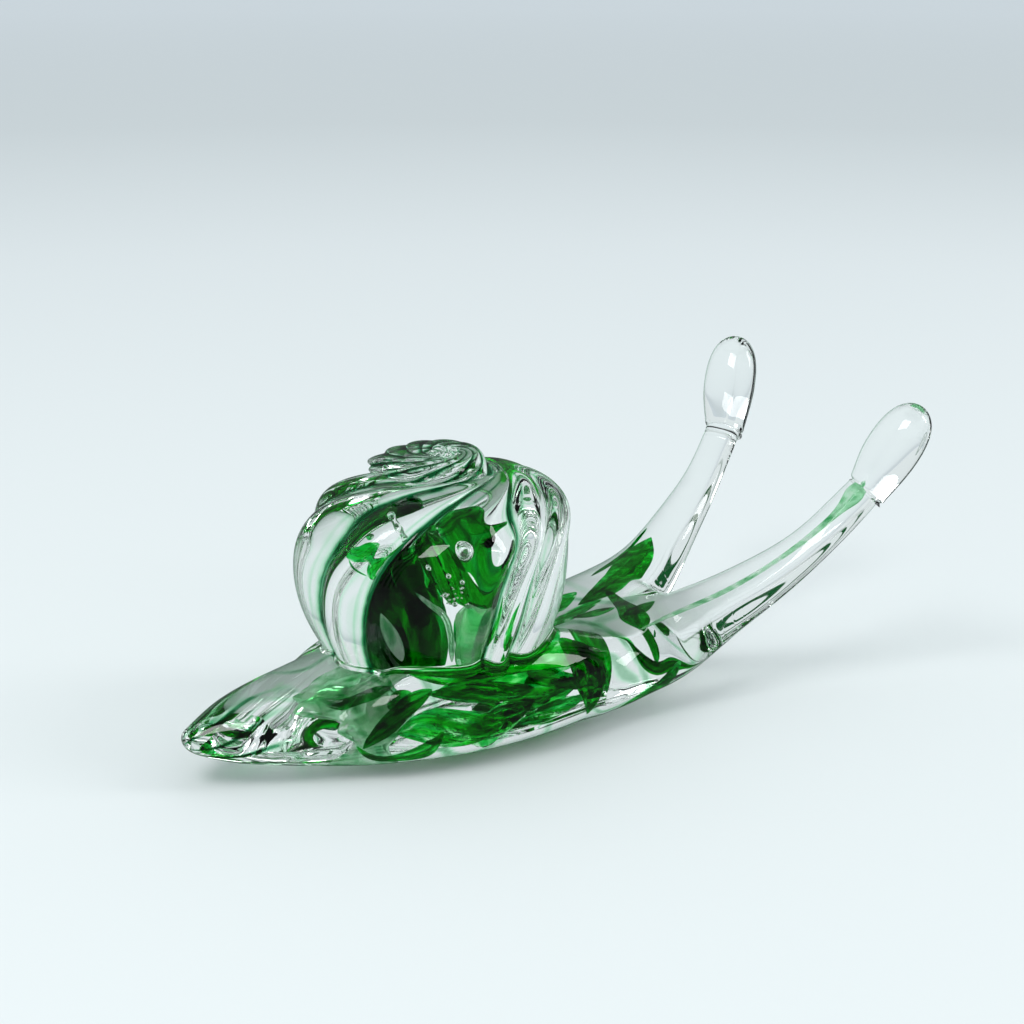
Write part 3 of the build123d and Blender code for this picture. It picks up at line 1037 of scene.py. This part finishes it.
def green_piece(node, glass, ribbons):
    """One bit of green glass, made of a few ribbons of the same colour."""
    columns = section_steps + 1
    sheets = []
    points = []
    first = 0
    for spec in ribbons:
        grid = ribbon(*spec)
        start = np.broadcast_to(grid[:1].mean(1, keepdims=True), grid[:1].shape)
        end = np.broadcast_to(grid[-1:].mean(1, keepdims=True), grid[-1:].shape)
        grid = np.concatenate((start, grid, end))
        grid[:, -1] = grid[:, 0]
        points.append(grid)
        sheets.append((grid_faces(len(grid), columns, first), 0))
        first += grid.shape[0] * columns
    piece = finished(node + "_colour", np.concatenate(points), sheets, [glass])
    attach(piece, "root")
    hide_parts(node)


# Petals of colour stand in the middle of the shell, seen from the near side as a dark hood over a
# round lobe, a pale band and a hook. Rows: along the near face, behind it, height, half width,
# half thickness and any roll. After the rows come the folds: depth, number and drift.
core_petals = {
    "core_hood": ("emerald_glass", deep_core, (
        (((9.8, -3.4, 43.4, 0.3, 0.4), (8, -5.4, 43, 1.6, 0.8), (6.3, -7.6, 41.8, 3.2, 1.1),
          (7.3, -8.4, 40.4, 2.2, 1.1), (7.8, -9.2, 38, 1, 0.8), (7.6, -9.4, 35.8, 0.3, 0.4)),
         (0.3, 3, 4)),
        (((1.2, -7.4, 41.2, 0.4, 0.4), (1.4, -7.8, 39.8, 1.9, 2), (2.9, -7.8, 37.9, 2.7, 2.8),
          (4.2, -7.8, 36.2, 2.7, 2.8), (5.2, -8.2, 34.6, 2.1, 2), (5.2, -8.6, 33.4, 0.5, 0.5)),
         (0.5, 4, 5)),
        (((-1.6, 1.5, 39.8, 0.4, 0.4), (-2.4, 1.8, 37.4, 1.8, 1), (-2.8, 2.2, 34.6, 2.6, 1.4, 5),
          (-2.4, 2.4, 31.6, 2.2, 1.5, 8), (-2, 2.2, 28.6, 0.4, 0.4, 8)), (0.4, 3, 4)),
        (((-3, 6, 36, 0.6, 0.5), (-3, 6.4, 32, 3.4, 1.2), (-3, 6.4, 27, 4.2, 1.4), (-2.6, 6, 21, 3, 1)),
         (0.6, 4, 4)),
    )),
    "core_left_petal": ("emerald_glass", deep_core, (
        (((-4.4, -8.8, 37, 0.5, 0.6), (-5, -8.2, 35, 3.6, 1.8), (-4.6, -7.6, 31.6, 4.8, 2.4),
          (-3.9, -7.2, 28.6, 5, 2.4), (-3.2, -7, 26, 4.4, 2), (-2.8, -6.4, 21, 3.2, 1.4)), (0.6, 4.5, 2)),
        (((-6.4, -1, 34, 0.6, 0.6), (-7, -0.6, 30, 2.6, 1.4), (-6.6, 0, 25, 3, 1.4),
          (-6, 0.4, 20, 2.4, 1)), (0.5, 3, 3)),
        (((-0.6, -10, 40.4, 0.4, 0.4), (-1.2, -10.2, 39.2, 2, 0.7), (-1.6, -10.4, 37.6, 2.6, 0.8),
          (-0.6, -10.6, 35.6, 2.4, 0.8), (0.6, -10.6, 33.8, 1.4, 0.6), (1.4, -10.4, 32.6, 0.4, 0.4)),
         (0.5, 4, 3)),
    )),
    "core_light_petal": ("pale_green_glass", milky_core, (
        (((-2.2, -12.8, 36.8, 0.25, 0.25), (-0.2, -13.2, 35, 0.5, 0.35), (1.9, -13.4, 33.2, 0.55, 0.4),
          (2.8, -13.2, 30.6, 0.55, 0.4), (3, -12.6, 27.4, 0.5, 0.35), (3, -12, 24.6, 0.25, 0.25)),
         (0.2, 3.5, 4)),
        (((5.6, -10.2, 34.6, 0.6, 0.5), (5.6, -10, 33, 1.9, 0.8), (5.4, -9.4, 29.8, 2, 1),
          (5, -8.6, 26.6, 1.9, 1), (4.8, -8, 22.4, 1.6, 0.8)), (0.3, 3, 4)),
        # The third ribbon is a pale milky wisp on the round lobe, a painted highlight: it stands in for the
        # soft bluish-white reflection there.
        (((-6.6, -11.8, 32.4, 0.2, 0.2), (-6.2, -12.4, 30.4, 0.9, 0.45), (-5.6, -12.4, 27.6, 1.1, 0.5),
          (-5, -11.8, 24.6, 0.4, 0.3)), (0.2, 3, 4)),
    )),
    "core_right_petal": ("emerald_glass", emerald_core, (
        (((14.6, -5.4, 33.2, 0.3, 0.3), (14.8, -5, 30.8, 0.9, 0.8), (13.8, -4.8, 28.4, 1.4, 1.2),
          (11.8, -5.4, 27, 1.9, 1.4), (9.6, -6.6, 27.4, 1.8, 1.2), (8.2, -7.6, 28.4, 0.5, 0.5)),
         (0.5, 4, 4)),
        (((9.6, 1, 25, 0.5, 0.5), (7.6, 0.4, 23.6, 1.8, 1.4), (4.2, 0, 22.6, 2.4, 1.6),
          (1, 0, 22, 0.8, 0.8)), (0.5, 4, 4)),
        (((5.4, -5.4, 34, 0.4, 0.4), (5.4, -5.2, 31.6, 2.2, 0.6), (5, -4.8, 27.4, 2.2, 0.6),
          (4.6, -4.2, 21.4, 1.6, 0.6)), (0.4, 4, 3)),
    )),
    "core_leaf": ("emerald_glass", emerald_core, (
        (((-10.4, -7.8, 43.4, 0.3, 0.3), (-11.4, -8.4, 42.5, 0.9, 0.8), (-12.6, -9.6, 41.5, 1, 0.8),
          (-12.4, -10.4, 40.4, 0.8, 0.7), (-11.2, -10.6, 39.8, 0.3, 0.3)), (0.3, 4, 3)),
        (((-17.6, -5, 43.2, 0.16, 0.16), (-16.6, -8, 42.6, 0.2, 0.2), (-15.2, -10.8, 41.6, 0.2, 0.2),
          (-13.6, -11.4, 40.8, 0.16, 0.16)), (0, 1, 1)),
        (((-10.8, -11.4, 43.4, 0.2, 0.2), (-9.4, -11.6, 44.2, 0.5, 0.4), (-7.6, -12, 45.2, 0.45, 0.4),
          (-6.4, -12.2, 46, 0.2, 0.2)), (0.1, 2, 2)),
    )),
}
for node, (slot, glass, ribbons) in core_petals.items():
    green_piece(node, glass, [(rows, near_face, upright, folds) for rows, folds in ribbons])

# Streaks and veils of colour run along the foot, under the shell and out into the head, drawn
# long with the glass. Rows: place, half width, half thickness and any roll. After the rows come
# the way that the ribbon is wide, and its folds.
foot_streaks = {
    "tail_veil": ("pale_green_glass", milky, (
        (((-37, -4, 11, 1, 0.4), (-31, -5, 12.5, 4.6, 0.8, 10), (-24, -5, 13, 6.4, 1, 25),
          (-17, -4, 13, 6, 1, 10), (-11.5, -3, 12, 2, 0.5)), lying, (1.1, 5, 9)),
        (((-34, 2, 9, 1, 0.4), (-28, -1, 9, 5, 0.7, -20), (-21, -3, 8.5, 6, 0.9, -35),
          (-13, -6, 8, 2, 0.5, -20)), lying, (0.9, 6, 7)),
        (((-30, -10, 9, 0.6, 0.3, 60), (-25, -11, 10, 2.6, 0.6, 70), (-19, -11.5, 11, 3, 0.6, 60),
          (-13, -11, 11, 0.8, 0.3, 50)), lying, (0.7, 5, 8)),
    )),
    "belly_swirl": ("emerald_glass", deep, (
        (((-12.6, -18.6, 16.8, 0.6, 0.5, 80), (-16.5, -18.2, 15.2, 1.8, 1.2, 75),
          (-20.5, -16.8, 12.4, 2, 1.3, 70), (-24, -15.4, 9.6, 1.4, 0.9, 65),
          (-26.4, -14.6, 7.4, 0.5, 0.4, 60)), lying, (0.4, 4, 5)),
        (((-27, -13, 7.6, 0.5, 0.4, 40), (-24, -15.6, 5.2, 1.2, 0.7, 50), (-18.6, -17.4, 5, 1.6, 0.8, 60),
          (-13, -17.4, 6.6, 1.4, 0.8, 70), (-9.6, -16.4, 8.6, 0.5, 0.4, 70)), lying, (0.4, 4, 5)),
        (((-21.4, -16.6, 14.4, 0.5, 0.4, 70), (-19, -17.4, 15.6, 1.7, 0.8, 75),
          (-16.8, -17.8, 16.8, 0.5, 0.4, 80)), lying, (0.2, 3, 2)),
        (((-31, -7, 12.4, 0.4, 0.3, 40), (-27, -9.4, 12.8, 1.2, 0.4, 55),
          (-22.6, -12.6, 14.4, 1, 0.4, 60), (-18.6, -14.4, 16, 0.3, 0.3, 60)), lying, (0.6, 5, 9)),
    )),
    "near_patch": ("emerald_glass", emerald, (
        (((-20.6, -18, 10.4, 0.8, 0.5, 75), (-14.6, -19.6, 10.8, 3, 1.1, 78),
          (-8, -20.4, 9.6, 3.4, 1.3, 82), (-1.6, -20, 9, 2.4, 1.1, 80), (4, -19.2, 9, 0.5, 0.4, 76)),
         lying, (0.6, 4, 6)),
        (((-4, -13, 6.6, 0.5, 0.5, 40), (2, -13.6, 7.6, 1.9, 1.6, 50), (8, -13.6, 8.4, 1.9, 1.5, 50),
          (13, -13, 9, 0.5, 0.5, 40)), lying, (0.4, 4, 5)),
        (((6, -19.6, 7.6, 0.5, 0.4, 60), (12, -20.4, 8.4, 1.4, 0.6, 65), (18, -19.8, 8.8, 1.4, 0.6, 60),
          (23, -18.4, 8.6, 0.5, 0.4, 55)), lying, (0.6, 5, 9)),
    )),
    "middle_patch": ("emerald_glass", deep, (
        (((-13.6, -18.6, 16.2, 0.5, 0.5, 80), (-7, -20.4, 15.8, 1.5, 1.2, 82),
          (-1, -21.2, 15.2, 1.9, 1.5, 82), (5, -21.4, 14.4, 1.4, 1.1, 80), (10, -21, 13.8, 0.5, 0.4, 80)),
         lying, (0.4, 4, 6)),
        (((6, -12, 9, 0.6, 0.5, 40), (12, -14, 10, 2.6, 1, 45), (18, -15.6, 11, 2.4, 0.9, 50),
          (24, -16, 11.6, 0.6, 0.4, 50)), lying, (0.6, 5, 6)),
        (((8, -21, 15.6, 0.4, 0.3, 80), (13, -21.6, 14.6, 0.9, 0.4, 80), (18, -21.2, 13, 0.9, 0.4, 80),
          (22, -20, 11.4, 0.4, 0.3, 80)), lying, (0.5, 3, 9)),
    )),
    "saddle_band": ("emerald_glass", emerald, (
        (((-17, -9, 15.2, 0.8, 0.5, 5), (-6, -11, 16.6, 5.4, 1.1, 10), (6, -11.4, 17.2, 6.4, 1.3, 8),
          (18, -9.4, 16.6, 5.6, 1.2, 4), (29, -6, 15, 0.8, 0.5)), lying, (0.9, 5, 8)),
        (((-12, -17, 15, 0.6, 0.4, 30), (-3, -19.4, 16.6, 2.6, 1, 36), (8, -19.8, 17.2, 3, 1.1, 36),
          (19, -17.4, 16.2, 2.6, 1, 30), (30, -13.4, 13.4, 0.5, 0.4, 25)), lying, (0.7, 4, 7)),
        (((-14, 8, 14.6, 0.8, 0.5), (-2, 9, 15.8, 6.6, 1.2, -4), (12, 8, 16, 7, 1.2, -4),
          (27, 5, 15, 1, 0.5)), lying, (0.9, 5, 6)),
        (((-10, -3, 11, 0.8, 0.5), (0, -3, 12, 6, 1), (12, -2, 12.2, 7, 1.1), (26, -1, 12, 1, 0.5)),
         lying, (1, 5, 6)),
    )),
    "head_patch": ("emerald_glass", deep, (
        (((20, -15.6, 18.2, 1.2, 0.6), (22.6, -18.6, 16.6, 3.2, 2), (24.4, -20.4, 13.4, 4, 2.6),
          (24.6, -20.8, 9.8, 3.2, 2), (24, -20, 6.6, 0.8, 0.6)), upright, (0.5, 4, 5)),
        (((24.6, -10, 16.6, 1, 0.6), (28, -12, 14.4, 2.8, 1.6), (30.4, -13.8, 11, 2.8, 1.6),
          (31, -14.8, 7, 0.8, 0.6)), upright, (0.5, 4, 5)),
        (((33, -15, 5, 0.5, 0.4, 60), (38.6, -17.6, 5.4, 1.2, 0.6, 65), (45, -18.8, 7.4, 1.2, 0.6, 65),
          (51, -18.4, 11, 0.4, 0.4, 65)), lying, (0.3, 5, 7)),
    )),
    "far_patch": ("emerald_glass", emerald, (
        (((25.4, 5, 14, 0.6, 0.5), (31, 6.6, 14.8, 2.6, 0.8, 5), (38, 9, 15.2, 2.8, 0.9, 10),
          (45, 11, 16.2, 0.8, 0.6, 10)), lying, (0.6, 4, 5)),
        (((28, -1, 14.6, 0.6, 0.5), (34, 0.6, 15.2, 2, 0.7), (41, 2.4, 15.8, 2, 0.8),
          (47, 4, 16.6, 0.5, 0.4)), lying, (0.5, 4, 5)),
    )),
    "fork_patch": ("emerald_glass", deep, (
        (((52, 9, 14.8, 1.2, 0.8), (51, 4, 14.6, 1.5, 1.2), (49.6, -1, 14.4, 1.7, 1.3),
          (48.6, -5.4, 14, 2.6, 1.6), (47.4, -9.4, 13.6, 3, 1.3), (46.6, -12, 13.2, 0.8, 0.6)),
         upright, (0.4, 4, 4)),
        (((46.6, -6, 13.8, 0.5, 0.5), (51, -6.4, 14.6, 1.6, 1), (55.4, -6.2, 15.6, 0.4, 0.4)),
         lying, (0.3, 3, 4)),
        (((37, 0.4, 14, 0.5, 0.4), (41.6, -1.4, 14.4, 1.8, 0.8), (46.4, -3, 15.2, 0.6, 0.5)),
         lying, (0.4, 4, 4)),
    )),
}
for node, (slot, glass, ribbons) in foot_streaks.items():
    green_piece(node, glass, [(rows, 0.0, wide, folds) for rows, wide, folds in ribbons])

# A tongue of emerald runs up into the far antenna, and one pale thread runs the whole length of
# the near one and opens into a funnel at its drop.
antenna_streaks = {
    "left_antenna_streak": ("emerald_glass", deep, (
        (((43.4, 7.8, 12.4, 0.6, 0.5), (49.4, 9.8, 13.2, 2.4, 1.6), (55.4, 11.8, 14.6, 3.3, 2),
          (62.4, 14.2, 18, 3.6, 2), (69, 16.8, 22, 2.9, 1.6), (72.4, 18.2, 24.4, 0.8, 0.6)), (0.6, 4, 5)),
        (((52, 14.8, 18.6, 0.3, 0.3), (58, 16.2, 20.4, 0.8, 0.6), (65, 18.2, 23.6, 0.7, 0.6),
          (72, 20.4, 27.6, 0.25, 0.25)), (0.1, 3, 5)),
    )),
    "right_antenna_thread": ("pale_green_glass", milky, (
        (((45, -12.4, 14.2, 0.3, 0.3), (54, -12.8, 16.2, 0.5, 0.5), (66, -15.6, 20.8, 0.55, 0.55),
          (78, -20.4, 28.2, 0.5, 0.5), (88, -24.6, 36.4, 0.7, 0.6), (93, -26.8, 41.6, 1.5, 1),
          (95.8, -28, 45, 2.6, 1.2), (97.6, -28.9, 47.6, 0.8, 0.6)), (0.1, 3, 5)),
    )),
}
for node, (slot, glass, ribbons) in antenna_streaks.items():
    green_piece(node, glass, [(rows, 0.0, lying, folds) for rows, folds in ribbons])

# The floor and the backdrop are one pale paper sweep, painted with light and shade in rings round
# the object, as the studio light falls: darker close by, lighter at about 0.6 m, darker again at
# about 1.3 m and palest far away. What the outside of the glass mirrors of it is dimmed, as a dark
# room does.
floor_reach = 14.0
outside_dimming = 0.82
painted_near_floor_shade = (0.734, 0.766, 0.772)
painted_floor_light_tones = (
    (0.0, painted_near_floor_shade),
    (0.045, (0.77, 0.796, 0.813)),
    (0.09, (0.712, 0.74, 0.76)),
    (0.22, (0.79, 0.82, 0.86)),
)


def outside_loss(nodes):
    """The share of light lost to a ray that bounced off glass and hasn't passed through any."""
    glossy = nodes.add("LightPath", {}, out=3)
    passed = nodes.add("LightPath", {}, out=6)
    return glossy * (1 - passed) * outside_dimming


floor_mesh = bpy.data.meshes.new("floor")
corners = np.array(((-1, -1, 0), (1, -1, 0), (1, 1, 0), (-1, 1, 0))) * floor_reach
floor_mesh.from_pydata(corners.tolist(), [], [(0, 1, 2, 3)])
floor = placed("floor", floor_mesh)
material = bpy.data.materials.new("pale_table")
nodes = Nodes(material)
place = nodes.add("TexCoord", {}, out=3)
distance = nodes.add("VectorMath", {"operation": "LENGTH"}, place, out=1)
# The floor's colour is painted light and shade, in rings by distance from the object.
painted_floor_shade = nodes.add("ValToRGB", {"stops": painted_floor_light_tones}, distance * (1 / floor_reach))
painted_floor_shade = mixed(nodes, outside_loss(nodes), painted_floor_shade, (*black, 1))
table = nodes.add("BsdfPrincipled", {}, painted_floor_shade, Roughness=1.0, Specular_IOR_Level=0.0)
nodes.show("Material", Surface=table)
floor_mesh.materials.append(material)

# Soft light comes from a pale tent all round. Dark gaps between its panels draw the thin dark
# lines along the edges of the glass, as they do in any studio. Each gap is a group of strips.
# Two soft boxes stand in the tent for the highlights.
tent_light = (0.745, 0.81, 0.825)
gap_dark = (0.003, 0.075, 0.018)
panel_count = 2.0
panel_phase = 1.152
panel_stops = ((0.46, black), (0.60, white))
strip_count = 40.0
strip_stops = ((0.40, black), (0.62, white))
height_stops = ((0.03, black), (0.07, white), (0.80, white), (0.86, black))
world = bpy.data.worlds.new("studio")
bpy.context.scene.world = world
nodes = Nodes(world)
direction = nodes.add("TexCoord", {}, out=0)
split = nodes.add("SeparateXYZ", {}, direction)
azimuth = nodes.add("Math", {"operation": "ARCTAN2"}, split.output(1), split)
wave = nodes.add("Math", {"operation": "COSINE"}, azimuth * panel_count + panel_phase)
between = nodes.add("ValToRGB", {"stops": panel_stops}, wave)
strip = nodes.add("Math", {"operation": "COSINE"}, azimuth * strip_count)
strips = nodes.add("ValToRGB", {"stops": strip_stops}, strip)
height = nodes.add("ValToRGB", {"stops": height_stops}, split.output(2))
lights_paper = nodes.add("LightPath", {}, out=2)
gaps = between * strips * height * (1 - lights_paper)
sky = mixed(nodes, gaps, (*tent_light, 1), (*gap_dark, 1))
back = nodes.add("Background", {}, sky, 1 - outside_loss(nodes))
nodes.show("World", Surface=back)


def softbox(name, place, aim, size, power):
    """A soft box lamp turned towards a point, in metres and watts."""
    lamp = bpy.data.lights.new(name, "AREA")
    lamp.shape = "RECTANGLE"
    lamp.size, lamp.size_y = size
    lamp.energy = power
    box = placed(name, lamp)
    box.location = place
    box.rotation_euler = (Vector(aim) - Vector(place)).to_track_quat("-Z", "Y").to_euler()


softbox("key", (-0.6, -0.2, 1.0), (0, 0, 0.02), (0.6, 0.4), 5.0)
softbox("fill", (0.9, -0.6, 0.7), (0, 0, 0.02), (0.3, 0.6), 3.0)

# The camera stands off the snail's right side, a third of the way round to the tail, and looks
# down a little. Glass behind glass needs many passes of light before a ray may end.
light_passes = 32
mirror_passes = 8
camera = bpy.data.cameras.new("camera")
camera.lens = 70
camera.sensor_width = 36
eye = placed("camera", camera)
eye.location = Vector((-207.02, -349.08, 172.94)) * mm
target = Vector((15.203, -6.885, 48.197)) * mm
eye.rotation_euler = (target - eye.location).to_track_quat("-Z", "Y").to_euler()
camera.clip_start = 0.01
bpy.context.scene.camera = eye

scene = bpy.context.scene
scene.view_settings.view_transform = "Standard"
scene.cycles.max_bounces = light_passes
scene.cycles.transmission_bounces = light_passes
scene.cycles.transparent_max_bounces = light_passes
scene.cycles.glossy_bounces = mirror_passes
